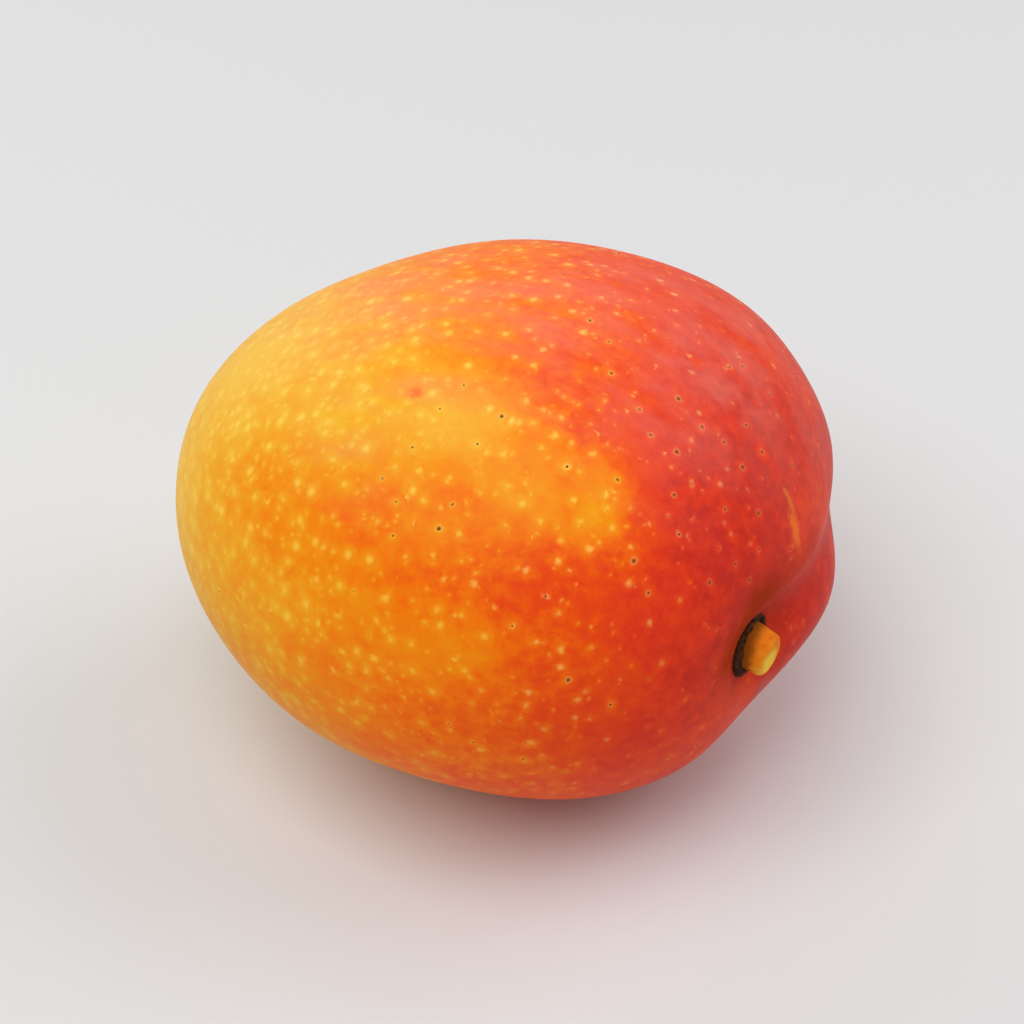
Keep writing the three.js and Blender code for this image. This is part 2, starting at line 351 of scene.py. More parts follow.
# The largest lenticels of the near cheek: place, and the radius of the corky centre in millimetres. Each
# point of the skin keeps its distance from the nearest one, as a vector, so that a dot is exact between them.
large_lenticels = [
    (82, 141, 0.30), (81, 124, 0.15), (79, 117, 0.24), (89, 144, 0.15), (57, 122, 0.17), (50, 138, 0.30),
    (56, 167, 0.24), (46, 145, 0.20), (50, 111, 0.24), (47, 121, 0.18), (43, 101, 0.20), (37, 104, 0.28),
    (35, 140, 0.20), (54, 99, 0.26), (74, 90, 0.20), (30, 112, 0.22), (37, 118, 0.20), (48, 102, 0.20),
    (35, 95, 0.22), (28, 85, 0.16), (31, 132, 0.18), (26, 136, 0.18), (55, 110, 0.20), (41, 92, 0.16),
    (66, 101, 0.18), (81, 136, 0.15), (91, 127, 0.14), (89, 119, 0.12), (87, 113, 0.14), (94, 134, 0.12),
    (90, 138, 0.13), (69, 94, 0.14), (59, 106, 0.15), (48, 77, 0.15), (40, 75, 0.14), (20, 71, 0.13),
]
lenticel_reach = 1.7 * mm
cork_free_reach = 3 * mm
cork_free_height = 4 * mm
cork_free_angle = math.radians(11)
places = np.array([skin_point(along, turn) for along, turn, size in large_lenticels])
gaps = points[:, None, :] - places
nearest = np.argmin((gaps**2).sum(axis=2), axis=1)
gap = gaps[np.arange(count), nearest]
apart = np.sqrt((gap**2).sum(axis=1))
layer = fruit.data.attributes.new("lenticel_gap", "FLOAT_VECTOR", "POINT")
layer.data.foreach_set("vector", gap.astype(np.float32).ravel())
keep("lenticel_near", apart < lenticel_reach)
keep("lenticel_size", np.array([size for along, turn, size in large_lenticels])[nearest])

# How many of the scattered dots are corked: more near the stalk, but none beside a large lenticel, at the
# collar or where the fruit lies.
corked = 0.02 + 0.3 * np.clip(growth[:, 0], 0, 1) + 0.35 * by_stalk
corked = corked - (apart < cork_free_reach) - (points[:, 2] < cork_free_height)
keep("corked", corked - (growth @ np.array(direction(*stalk_place)) > math.cos(cork_free_angle)))

# Marks on this skin: place of both ends, half width in millimetres, colour and strength. Each
# keeps, as a vector: how far along it, how far across it and how deep under it a point of the skin is.
skin_marks = [
    ("healed scar above the stalk", (24, 98), (14.5, 110), 1.40, "#F87420", 0.80),
    ("thin end of the scar", (28, 95.5), (21, 99), 0.60, "#E08030", 0.60),
    ("red fleck on the upper cheek", (96, 117), (92.8, 116.2), 1.15, "#F85A30", 0.6),
    # A grey patch on the skin at the edge below the stalk.
    ("grey patch below the stalk", (24, -120), (18, -118), 1.40, "#8A6A68", 0.60),
]
mark_depth = 6 * mm
for label, start, end, mark_width, code, strength in skin_marks:
    first = Vector(skin_point(*start))
    last = Vector(skin_point(*end))
    lengthwise = (last - first).normalized()
    upward = direction(*start) + direction(*end)
    across = upward.cross(lengthwise).normalized()
    depth = lengthwise.cross(across)
    rows = np.array([lengthwise / (last - first).length, across / (mark_width * mm), depth / mark_depth])
    layer = fruit.data.attributes.new(label, "FLOAT_VECTOR", "POINT")
    layer.data.foreach_set("vector", ((points - np.array(first)) @ rows.T).astype(np.float32).ravel())

# Ripe peel: a thin waxed skin over yellow flesh. Cells full of red pigment lie over yellow ones, so the
# colour runs from gold through orange to crimson, broken by pale breathing dots. Wax makes it satin.
peel.use_nodes = True
cloud_size = 24 * mm
streak_size = 6 * mm
mottle_size = 2.6 * mm
wobble_size = 1.1 * mm
wobble_reach = 0.8 * mm
cloud_strength = 0.12
streak_strength = 0.34
mottle_strength = 0.23
mottle_with_blush = 0.3
shade = peel.node_tree
coat = shade.nodes["Principled BSDF"]
where = node(shade, "ShaderNodeTexCoord").outputs
streak_place = node(shade, "ShaderNodeMapping", {"Vector": where["Object"], "Scale": (0.35, 1, 1)}).outputs[0]
clouds = node(shade, "ShaderNodeTexNoise",
              {"Vector": where["Object"], "Scale": 1 / cloud_size, "Detail": 2.0})
streaks = node(shade, "ShaderNodeTexNoise", {"Vector": streak_place, "Scale": 1 / streak_size, "Detail": 4.0,
                                             "Roughness": 0.6, "Distortion": 0.6})
mottle = node(shade, "ShaderNodeTexNoise",
              {"Vector": where["Object"], "Scale": 1 / mottle_size, "Detail": 4.0, "Roughness": 0.65,
               "Distortion": 0.3})
read = {}
for label in ("blush", "dotted", "vivid", "bloom_and_sheen", "stalk_hollow_shade", "lenticel_near", "lenticel_size"):
    read[label] = node(shade, "ShaderNodeAttribute", attribute_name=label).outputs["Fac"]
lenticel_gap = node(shade, "ShaderNodeAttribute", attribute_name="lenticel_gap").outputs["Vector"]

red = read["blush"]
patchy = node(shade, "ShaderNodeMath", {0: red, 1: mottle_with_blush, 2: mottle_strength},
              operation="MULTIPLY_ADD").outputs[0]
for noise, amount in ((clouds, cloud_strength), (streaks, streak_strength), (mottle, patchy)):
    shifted = node(shade, "ShaderNodeMath", {0: noise.outputs[0], 1: 0.5}, operation="SUBTRACT").outputs[0]
    red = node(shade, "ShaderNodeMath", {0: shifted, 1: amount, 2: red}, operation="MULTIPLY_ADD").outputs[0]

# No dot is a true circle: a fine noise moves the skin a little before a distance is measured.
wobble = node(shade, "ShaderNodeTexNoise",
              {"Vector": where["Object"], "Scale": 1 / wobble_size, "Detail": 1.0})
moved = node(shade, "ShaderNodeVectorMath", {0: wobble.outputs["Color"], 1: (0.5, 0.5, 0.5)},
             operation="SUBTRACT").outputs[0]
shift = node(shade, "ShaderNodeVectorMath", {0: moved, "Scale": wobble_reach}, operation="SCALE").outputs[0]

# The dots stand at the centres of Voronoi cells that lie close under the skin. Their distance is measured
# along the skin, so each is round, and its cell's own colour decides its size and whether it is there.
# Each set says its cell size and its least and greatest radius in millimetres, then the share of its cells
# that hold a dot and how strong a dot is.
dot_sets = [
    ("large dots", 3.4, 0.45, 1.15, 1.0, 0.85),
    ("second dots", 2.9, 0.40, 0.95, 0.8, 0.60),
    ("specks", 1.9, 0.22, 0.45, 0.55, 0.45),
]
evenness = 0.78
deepest = 0.3
away_from_named = node(shade, "ShaderNodeMath", {0: 1.0, 1: read["lenticel_near"]},
                       operation="SUBTRACT").outputs[0]
dot_share = node(shade, "ShaderNodeMath", {0: read["dotted"], 1: away_from_named},
                 operation="MULTIPLY").outputs[0]
halo = 0.0
glow = 0.0
spread_out = node(shade, "ShaderNodeMath", {0: read["dotted"], 1: 0.65, 2: 0.52},
                  operation="MULTIPLY_ADD").outputs[0]
for label, cell, least, most, share, strength in dot_sets:
    cells = node(shade, "ShaderNodeTexVoronoi", {"Vector": where["Object"], "Scale": 1 / (cell * mm),
                                                 "Randomness": evenness})
    away = node(shade, "ShaderNodeVectorMath", {0: where["Object"], 1: cells.outputs["Position"]},
                operation="SUBTRACT").outputs[0]
    bent = node(shade, "ShaderNodeVectorMath", {0: away, 1: shift}, operation="ADD").outputs[0]
    sunk = node(shade, "ShaderNodeVectorMath", {0: bent, 1: where["Normal"]},
                operation="DOT_PRODUCT").outputs["Value"]
    far = node(shade, "ShaderNodeVectorMath", {0: bent}, operation="LENGTH").outputs["Value"]
    far_squared = node(shade, "ShaderNodeMath", {0: far, 1: far}, operation="MULTIPLY").outputs[0]
    sunk_squared = node(shade, "ShaderNodeMath", {0: sunk, 1: sunk}, operation="MULTIPLY").outputs[0]
    flat_squared = node(shade, "ShaderNodeMath", {0: far_squared, 1: sunk_squared}, operation="SUBTRACT",
                        use_clamp=True).outputs[0]
    flat = node(shade, "ShaderNodeMath", {0: flat_squared}, operation="SQRT").outputs[0]
    sunk_size = node(shade, "ShaderNodeMath", {0: sunk}, operation="ABSOLUTE").outputs[0]
    reached = node(shade, "ShaderNodeMapRange",
                   {"Value": sunk_size, "From Min": deepest * cell * mm,
                    "From Max": (deepest + 0.05) * cell * mm, "To Min": 1, "To Max": 0})
    chance = node(shade, "ShaderNodeSeparateColor", {0: cells.outputs["Color"]}).outputs
    radius = node(shade, "ShaderNodeMapRange",
                  {"Value": chance[0], "To Min": least * mm, "To Max": most * mm})
    own_radius = node(shade, "ShaderNodeMath", {0: radius.outputs[0], 1: spread_out},
                      operation="MULTIPLY").outputs[0]
    nearness = node(shade, "ShaderNodeMath", {0: flat, 1: own_radius}, operation="DIVIDE").outputs[0]
    spot = node(shade, "ShaderNodeMapRange",
                {"Value": nearness, "From Min": 0.0, "From Max": 1.05, "To Min": strength, "To Max": 0},
                interpolation_type="SMOOTHSTEP")
    wide = node(shade, "ShaderNodeMapRange", {"Value": nearness, "From Min": 0.5, "From Max": 2.8,
                                              "To Min": 1, "To Max": 0}, interpolation_type="SMOOTHSTEP")
    limit = node(shade, "ShaderNodeMath", {0: dot_share, 1: share}, operation="MULTIPLY").outputs[0]
    there = node(shade, "ShaderNodeMath", {0: chance[1], 1: limit}, operation="LESS_THAN").outputs[0]
    shown = node(shade, "ShaderNodeMath", {0: there, 1: reached.outputs[0]}, operation="MULTIPLY").outputs[0]
    clear = node(shade, "ShaderNodeMapRange", {"Value": chance[0], "To Min": 0.45, "To Max": 1.0}).outputs[0]
    lit = node(shade, "ShaderNodeMath", {0: spot.outputs[0], 1: clear}, operation="MULTIPLY").outputs[0]
    here = node(shade, "ShaderNodeMath", {0: lit, 1: shown}, operation="MULTIPLY").outputs[0]
    halo = node(shade, "ShaderNodeMath", {0: here, 1: halo}, operation="MAXIMUM").outputs[0]
    glimmer = node(shade, "ShaderNodeMath", {0: wide.outputs[0], 1: shown}, operation="MULTIPLY").outputs[0]
    glow = node(shade, "ShaderNodeMath", {0: glimmer, 1: glow}, operation="MAXIMUM").outputs[0]

# The ring of pale peel round each of the largest lenticels is three to four times as wide as its cork.
ring_per_cork = 2.0
ring_beyond = 0.27 * mm
bent = node(shade, "ShaderNodeVectorMath", {0: lenticel_gap, 1: shift}, operation="ADD").outputs[0]
far = node(shade, "ShaderNodeVectorMath", {0: bent}, operation="LENGTH").outputs["Value"]
ring = node(shade, "ShaderNodeMath", {0: read["lenticel_size"], 1: ring_per_cork * mm, 2: ring_beyond},
            operation="MULTIPLY_ADD").outputs[0]
nearness = node(shade, "ShaderNodeMath", {0: far, 1: ring}, operation="DIVIDE").outputs[0]
ring_fades = [("pale ring", 0.3, 1.15, 0.5), ("yellower peel", 0.5, 3.0, 1.0), ("brown rim", 0.3, 0.68, 0.55)]
faded = []
for label, inner, outer, most in ring_fades:
    around = node(shade, "ShaderNodeMapRange", {"Value": nearness, "From Min": inner, "From Max": outer,
                                                "To Min": most, "To Max": 0}, interpolation_type="SMOOTHSTEP")
    faded.append(node(shade, "ShaderNodeMath", {0: around.outputs[0], 1: read["lenticel_near"]},
                      operation="MULTIPLY", label=label).outputs[0])
halo = node(shade, "ShaderNodeMath", {0: faded[0], 1: halo}, operation="MAXIMUM").outputs[0]
glow = node(shade, "ShaderNodeMath", {0: faded[1], 1: glow}, operation="MAXIMUM").outputs[0]

# Little red pigment forms beside a dot, so the peel round it is yellower.
red = node(shade, "ShaderNodeMath", {0: glow, 1: -0.09, 2: red}, operation="MULTIPLY_ADD").outputs[0]
peel_stops = [(0.0, "#F6BE34"), (0.14, "#F5AC20"), (0.32, "#F7920E"), (0.5, "#F87308"), (0.66, "#F04E10"),
              (0.82, "#E63A1A"), (1.0, "#CA2A1C")]
dot_stops = [(0.0, "#FFD858"), (0.4, "#FFD04C"), (0.7, "#FFC070"), (1.0, "#EC9864")]
tints = []
for stops in (peel_stops, dot_stops):
    ramp = node(shade, "ShaderNodeValToRGB", {0: red})
    for added in range(len(stops) - 2):
        ramp.color_ramp.elements.new(0.5)
    for element, (position, code) in zip(ramp.color_ramp.elements, stops):
        element.position = position
        element.color = linear(code)
    tints.append(ramp.outputs[0])
dot_strength = node(shade, "ShaderNodeMath", {0: halo, 1: read["vivid"]}, operation="MULTIPLY").outputs[0]
colour = node(shade, "ShaderNodeMix", {0: dot_strength, 6: tints[0], 7: tints[1]},
              data_type="RGBA").outputs[2]

# Wax bloom and painted sheen: a thin pale film in streaks, wiped off in places where the fruit was handled,
# which also paints the soft highlight of the upper cheek and rim. Round the stalk, in the fold below it and
# along the groove above it, painted shade darkens the peel brown, and the peel there is rougher.
thinnest_film = 0.04
thickest_film = 0.27
wiped = node(shade, "ShaderNodeTexNoise", {"Vector": streak_place, "Scale": 1 / streak_size, "Detail": 3.0,
                                           "Distortion": 0.3})
film = node(shade, "ShaderNodeMapRange", {"Value": wiped.outputs[0], "From Min": 0.35, "From Max": 0.62,
                                          "To Min": thinnest_film, "To Max": thickest_film}).outputs[0]
bloom_and_sheen_share = node(shade, "ShaderNodeMath", {0: film, 1: read["bloom_and_sheen"]}, operation="MULTIPLY").outputs[0]
colour = node(shade, "ShaderNodeMix", {0: bloom_and_sheen_share, 6: colour, 7: linear("#F49C8C")},
              data_type="RGBA").outputs[2]
# Painted shade: the peel in the stalk hollow, the fold and the groove is mixed towards brown.
stalk_hollow_shade_share = node(shade, "ShaderNodeMath", {0: read["stalk_hollow_shade"], 1: 0.85}, operation="MULTIPLY").outputs[0]
colour = node(shade, "ShaderNodeMix", {0: stalk_hollow_shade_share, 6: colour, 7: linear("#A43206")},
              data_type="RGBA").outputs[2]
colour = node(shade, "ShaderNodeMix", {0: faded[2], 6: colour, 7: linear("#8A4420")},
              data_type="RGBA").outputs[2]

# Each mark is an ellipse on the skin with a ragged edge.
for label, start, end, mark_width, code, strength in skin_marks:
    local = node(shade, "ShaderNodeAttribute", attribute_name=label).outputs["Vector"]
    centred = node(shade, "ShaderNodeVectorMath", {0: local, 1: (2, 1, 1), 2: (-1, 0, 0)},
                   operation="MULTIPLY_ADD").outputs[0]
    ragged = node(shade, "ShaderNodeVectorMath", {0: moved, 1: centred}, operation="ADD").outputs[0]
    distance = node(shade, "ShaderNodeVectorMath", {0: ragged}, operation="LENGTH").outputs["Value"]
    share = node(shade, "ShaderNodeMapRange",
                 {"Value": distance, "From Min": 0.35, "From Max": 1.25, "To Min": strength, "To Max": 0},
                 interpolation_type="SMOOTHSTEP")
    colour = node(shade, "ShaderNodeMix", {0: share.outputs[0], 6: colour, 7: linear(code)},
                  data_type="RGBA").outputs[2]
shade.links.new(colour, coat.inputs["Base Color"])
satin = node(shade, "ShaderNodeMapRange", {"Value": bloom_and_sheen_share, "From Max": 0.25, "To Min": 0.42, "To Max": 0.55})
rough = node(shade, "ShaderNodeMath", {0: read["stalk_hollow_shade"], 1: 0.5, 2: satin.outputs[0]},
             operation="MULTIPLY_ADD", use_clamp=True)
shade.links.new(rough.outputs[0], coat.inputs["Roughness"])
coat.inputs["IOR"].default_value = 1.2
coat.inputs["Specular IOR Level"].default_value = 0.33

# The finest cell pattern of peel, about 0.05 mm, can't be seen, so its bumps are drawn 0.9 mm wide.
grain_size = 0.9 * mm
grain_height = 0.05 * mm
grain = node(shade, "ShaderNodeTexNoise", {"Vector": where["Object"], "Scale": 1 / grain_size, "Detail": 2.0})
bump = node(shade, "ShaderNodeBump", {"Height": grain.outputs[0], "Strength": 0.15, "Distance": grain_height})
shade.links.new(bump.outputs[0], coat.inputs["Normal"])

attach(fruit, "root")
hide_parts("fruit")

# Lenticels: breathing pores of the peel that have corked over, so their centres are small dark brown scabs
# standing a little proud. They sit exactly in the pale dots of the peel and are more common near the stalk.
cork_radius_least = 0.10 * mm
cork_radius_most = 0.24 * mm
cork_height = 0.09 * mm
centre_reach = 0.62 * mm
least_gap = 0.5 * mm
same_place = 0.01 * mm

scab = bpy.data.materials.new("lenticel cork")
scab.use_nodes = True
scab_coat = scab.node_tree.nodes["Principled BSDF"]
scab_coat.inputs["Base Color"].default_value = linear("#80481E")
scab_coat.inputs["Roughness"].default_value = 0.85
scab_coat.inputs["IOR"].default_value = 1.1

cork_sizes = {
    "Cell Size": dot_sets[0][1] * mm,
    "Evenness": evenness,
    "Deepest Centre": deepest * dot_sets[0][1] * mm,
    "Least Radius": cork_radius_least,
    "Most Radius": cork_radius_most,
    "Height": cork_height,
}

# One cork grows at the centre of each scattered dot that is corked, found from the skin's own points, and one
# at each large lenticel. It turns and narrows by chance, from a fixed seed.
corks = new_tree("lenticel corks", cork_sizes)
source = node(corks, "NodeGroupInput").outputs
place = node(corks, "GeometryNodeInputPosition").outputs[0]
facing = node(corks, "GeometryNodeInputNormal").outputs[0]
finer = node(corks, "ShaderNodeMath", {0: 1.0, 1: source["Cell Size"]}, operation="DIVIDE").outputs[0]
cells = node(corks, "ShaderNodeTexVoronoi",
             {"Vector": place, "Scale": finer, "Randomness": source["Evenness"]})
away = node(corks, "ShaderNodeVectorMath", {0: cells.outputs["Position"], 1: place},
            operation="SUBTRACT").outputs[0]
sunk = node(corks, "ShaderNodeVectorMath", {0: away, 1: facing}, operation="DOT_PRODUCT").outputs["Value"]
inward = node(corks, "ShaderNodeVectorMath", {0: facing, "Scale": sunk}, operation="SCALE").outputs[0]
along_skin = node(corks, "ShaderNodeVectorMath", {0: away, 1: inward}, operation="SUBTRACT").outputs[0]
flat = node(corks, "ShaderNodeVectorMath", {0: along_skin}, operation="LENGTH").outputs["Value"]
sunk_size = node(corks, "ShaderNodeMath", {0: sunk}, operation="ABSOLUTE").outputs[0]
chance = node(corks, "FunctionNodeSeparateColor", {0: cells.outputs["Color"]}).outputs
shares = {}
for label in ("dotted", "corked"):
    shares[label] = node(corks, "GeometryNodeInputNamedAttribute", {"Name": label},
                         data_type="FLOAT").outputs[0]
near = node(corks, "ShaderNodeMath", {0: flat, 1: centre_reach}, operation="LESS_THAN").outputs[0]
shallow = node(corks, "ShaderNodeMath", {0: sunk_size, 1: source["Deepest Centre"]},
               operation="LESS_THAN").outputs[0]
there = node(corks, "ShaderNodeMath", {0: chance[1], 1: shares["dotted"]}, operation="LESS_THAN").outputs[0]
dark = node(corks, "ShaderNodeMath", {0: chance[2], 1: shares["corked"]}, operation="LESS_THAN").outputs[0]
one = node(corks, "ShaderNodeMath", {0: near, 1: shallow}, operation="MULTIPLY").outputs[0]
two = node(corks, "ShaderNodeMath", {0: there, 1: dark}, operation="MULTIPLY").outputs[0]
by_chance = node(corks, "ShaderNodeMath", {0: one, 1: two}, operation="MULTIPLY").outputs[0]
gap_here = node(corks, "GeometryNodeInputNamedAttribute", {"Name": "lenticel_gap"},
                data_type="FLOAT_VECTOR").outputs[0]
gap_length = node(corks, "ShaderNodeVectorMath", {0: gap_here}, operation="LENGTH").outputs["Value"]
by_name = node(corks, "ShaderNodeMath", {0: gap_length, 1: same_place}, operation="LESS_THAN").outputs[0]
chosen = node(corks, "ShaderNodeMath", {0: by_chance, 1: by_name}, operation="MAXIMUM").outputs[0]
unmoved = node(corks, "ShaderNodeMath", {0: 1.0, 1: by_name}, operation="SUBTRACT").outputs[0]
to_centre = node(corks, "ShaderNodeVectorMath", {0: along_skin, "Scale": unmoved},
                 operation="SCALE").outputs[0]
centre = node(corks, "ShaderNodeVectorMath", {0: place, 1: to_centre}, operation="ADD").outputs[0]
named_size = node(corks, "GeometryNodeInputNamedAttribute", {"Name": "lenticel_size"},
                  data_type="FLOAT").outputs[0]
named_radius = node(corks, "ShaderNodeMath", {0: named_size, 1: mm}, operation="MULTIPLY").outputs[0]
chance_radius = node(corks, "ShaderNodeMapRange", {"Value": chance[0], "To Min": source["Least Radius"],
                                                   "To Max": source["Most Radius"]}).outputs[0]
cork_radius = node(corks, "ShaderNodeMix", {0: by_name, 2: chance_radius, 3: named_radius}).outputs[0]
faced = node(corks, "GeometryNodeStoreNamedAttribute",
             {"Geometry": source["Geometry"], "Name": "facing", "Value": facing}, data_type="FLOAT_VECTOR",
             domain="POINT")
sized = node(corks, "GeometryNodeStoreNamedAttribute",
             {"Geometry": faced.outputs[0], "Name": "own_radius", "Value": cork_radius}, data_type="FLOAT",
             domain="POINT")
spots = node(corks, "GeometryNodeMeshToPoints",
             {"Mesh": sized.outputs[0], "Selection": chosen, "Position": centre})
single = node(corks, "GeometryNodeMergeByDistance", {"Geometry": spots.outputs[0], "Distance": least_gap})
kept_facing = node(corks, "GeometryNodeInputNamedAttribute", {"Name": "facing"},
                   data_type="FLOAT_VECTOR").outputs[0]
width = node(corks, "GeometryNodeInputNamedAttribute", {"Name": "own_radius"}, data_type="FLOAT").outputs[0]
upright = node(corks, "FunctionNodeAlignRotationToVector", {"Vector": kept_facing}, axis="Z").outputs[0]
spin = node(corks, "FunctionNodeRandomValue", {2: 0.0, 3: 6.28, "Seed": 4}, data_type="FLOAT").outputs[1]
turned = node(corks, "FunctionNodeAxisAngleToRotation", {"Axis": (0, 0, 1), "Angle": spin}).outputs[0]
spun = node(corks, "FunctionNodeRotateRotation", {0: upright, 1: turned}, rotation_space="LOCAL").outputs[0]
squeeze = node(corks, "FunctionNodeRandomValue", {2: 0.6, 3: 1.0, "Seed": 9}, data_type="FLOAT").outputs[1]
narrow = node(corks, "ShaderNodeMath", {0: width, 1: squeeze}, operation="MULTIPLY").outputs[0]
scale = node(corks, "ShaderNodeCombineXYZ", {0: width, 1: narrow, 2: source["Height"]}).outputs[0]
dome = node(corks, "GeometryNodeMeshUVSphere", {"Segments": 8, "Rings": 4, "Radius": 1.0})
studs = node(corks, "GeometryNodeInstanceOnPoints", {"Points": single.outputs[0], "Instance": dome.outputs[0],
                                                     "Rotation": spun, "Scale": scale})
solid = node(corks, "GeometryNodeRealizeInstances", {"Geometry": studs.outputs[0]})
smooth = node(corks, "GeometryNodeSetShadeSmooth", {"Geometry": solid.outputs[0]})
covered = node(corks, "GeometryNodeSetMaterial", {"Geometry": smooth.outputs[0], "Material": scab})
node(corks, "NodeGroupOutput", {"Geometry": covered.outputs[0]})

lenticels = plain_mesh(corks, cork_sizes, fruit.data.copy(), "lenticel_corks")
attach(lenticels, "root")

# Stalk collar: the low ring of dried bark and corky peel where the stalk was joined to the fruit. It is
# dark, brittle and uneven, stands higher towards the near cheek and sits in a small hollow of the skin.
collar_radius = 5.3 * mm
collar_inner_radius = 3.7 * mm
collar_height = 2.0 * mm
collar_height_change = 1.0 * mm
collar_high_side = math.radians(105)
collar_foot = -1.6 * mm
collar_rim_width = 0.7 * mm
collar_rim_height = 0.5 * mm
flake_size = 0.8 * mm
flake_height = 0.2 * mm
stalk_lean = 0.02
stalk_foot_angle = math.radians(1.3)

at_stalk = growth @ np.array(direction(*stalk_place)) > math.cos(stalk_foot_angle)
stalk_foot = Vector(points[at_stalk].mean(axis=0))
grows = direction(*stalk_place)
skin_faces = Vector((grows.x / half_length, grows.y / half_width, grows.z / half_thickness)).normalized()
stalk_axis = (skin_faces - Vector((0, 0, stalk_lean))).normalized()
stalk_top = (Vector((0, 0, 1)) - stalk_axis * stalk_axis.z).normalized()
stalk_side = stalk_axis.cross(stalk_top)


def ring_mesh(name, around, profile, hollow):
    """A closed skin about the stalk: profile(turn) gives radius and height pairs from foot to end."""
    mesh = bmesh.new()
    rings = []
    for i in range(around):
        turn = 2 * math.pi * i / around
        outward = stalk_top * math.cos(turn) + stalk_side * math.sin(turn)
        rings.append([mesh.verts.new(stalk_foot + outward * r + stalk_axis * h) for r, h in profile(turn)])
    steps = len(rings[0])
    for i in range(around):
        here = rings[i]
        there = rings[(i + 1) % around]
        for k in range(steps if hollow else steps - 1):
            above = (k + 1) % steps
            mesh.faces.new((here[k], there[k], there[above], here[above]))
    if not hollow:
        mesh.faces.new([ring[0] for ring in rings])
        mesh.faces.new([ring[-1] for ring in reversed(rings)])
    bmesh.ops.recalc_face_normals(mesh, faces=mesh.faces)
    data = bpy.data.meshes.new(name)
    mesh.to_mesh(data)
    mesh.free()
    data.polygons.foreach_set("use_smooth", [True] * len(data.polygons))
    piece = bpy.data.objects.new(name, data)
    bpy.context.collection.objects.link(piece)
    return piece


def collar_profile(turn):
    """One cut through the collar: up the outside, over the rim and down inside."""
    top = collar_height + collar_height_change * math.cos(turn - collar_high_side)
    top += 0.12 * mm * math.sin(5 * turn + 1) + 0.08 * mm * math.sin(11 * turn)
    outer = collar_radius + 0.12 * mm * math.sin(3 * turn + 2) + 0.06 * mm * math.sin(9 * turn)
    shoulder = top - collar_rim_height
    cut = [(outer, collar_foot + (shoulder - collar_foot) * k / 8) for k in range(9)]
    for k in range(1, 9):
        bend = math.pi / 2 * k / 8
        cut.append((outer - collar_rim_width * (1 - math.cos(bend)),
                    top - collar_rim_height * (1 - math.sin(bend))))
    cut += [(collar_inner_radius + 0.1 * mm, top - 0.15 * mm), (collar_inner_radius, shoulder)]
    cut.append((collar_inner_radius, collar_foot))
    return cut


# Dried bark: dull, nearly black in its cracks and brown on its flakes.
bark = bpy.data.materials.new("dried stalk bark")
bark.use_nodes = True
bark_coat = bark.node_tree.nodes["Principled BSDF"]
bark_place = node(bark.node_tree, "ShaderNodeTexCoord").outputs["Object"]
flakes = node(bark.node_tree, "ShaderNodeTexNoise",
              {"Vector": bark_place, "Scale": 1 / flake_size, "Detail": 4.0})
bark_ramp = node(bark.node_tree, "ShaderNodeValToRGB", {0: flakes.outputs[0]})
bark_ramp.color_ramp.elements[0].position = 0.35
bark_ramp.color_ramp.elements[0].color = linear("#241006")
bark_ramp.color_ramp.elements[1].position = 0.7
bark_ramp.color_ramp.elements[1].color = linear("#5E3820")
bark.node_tree.links.new(bark_ramp.outputs[0], bark_coat.inputs["Base Color"])
bark_coat.inputs["Roughness"].default_value = 0.9
bark_coat.inputs["IOR"].default_value = 1.2
bark_bump = node(bark.node_tree, "ShaderNodeBump",
                 {"Height": flakes.outputs[0], "Strength": 0.6, "Distance": flake_height})
bark.node_tree.links.new(bark_bump.outputs[0], bark_coat.inputs["Normal"])

collar = ring_mesh("stalk_collar", 160, collar_profile, True)
collar.data.materials.append(bark)
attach(collar, "root")
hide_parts("stem_collar")

# Stalk stub: what is left of the woody stalk after picking, a short tapering peg with a rounded edge. Its
# broken end slants and shows pale, rough, yellow fibres below its middle.
stub_radius = 3.9 * mm
stub_tip_radius = 3.6 * mm
stub_height = 5.8 * mm
stub_edge_radius = 1.2 * mm
stub_tip_slant = 0.15
stub_long_side = math.radians(75)
torn_place = (-0.5, 0.7, 5.4)
fibre_height = 0.25 * mm


def stub_profile(turn):
    """One cut through the stub: up its side, round its edge and in to the middle of its end."""
    cut = []
    for k in range(13):
        share = k / 12
        cut.append((stub_radius + (stub_tip_radius - stub_radius) * share,
                    (stub_height - stub_edge_radius) * share))
    for k in range(1, 9):
        bend = math.pi / 2 * k / 8
        cut.append((stub_tip_radius - stub_edge_radius * (1 - math.cos(bend)),
                    stub_height - stub_edge_radius * (1 - math.sin(bend))))
    for k in range(1, 12):
        cut.append(((stub_tip_radius - stub_edge_radius) * (1 - k / 11.5), stub_height))
    placed = []
    for r, h in cut:
        longer = stub_tip_slant * r * math.cos(turn - stub_long_side)
        placed.append((r, h * (1 + longer / stub_height)))
    return placed


stub = ring_mesh("stalk_stub", 128, stub_profile, False)
axes = np.array([stalk_top, stalk_side, stalk_axis]) / mm
corners = np.empty(len(stub.data.vertices) * 3)
stub.data.vertices.foreach_get("co", corners)
layer = stub.data.attributes.new("on_stalk", "FLOAT_VECTOR", "POINT")
layer.data.foreach_set("vector", ((corners.reshape(-1, 3) - np.array(stalk_foot)) @ axes.T).ravel())

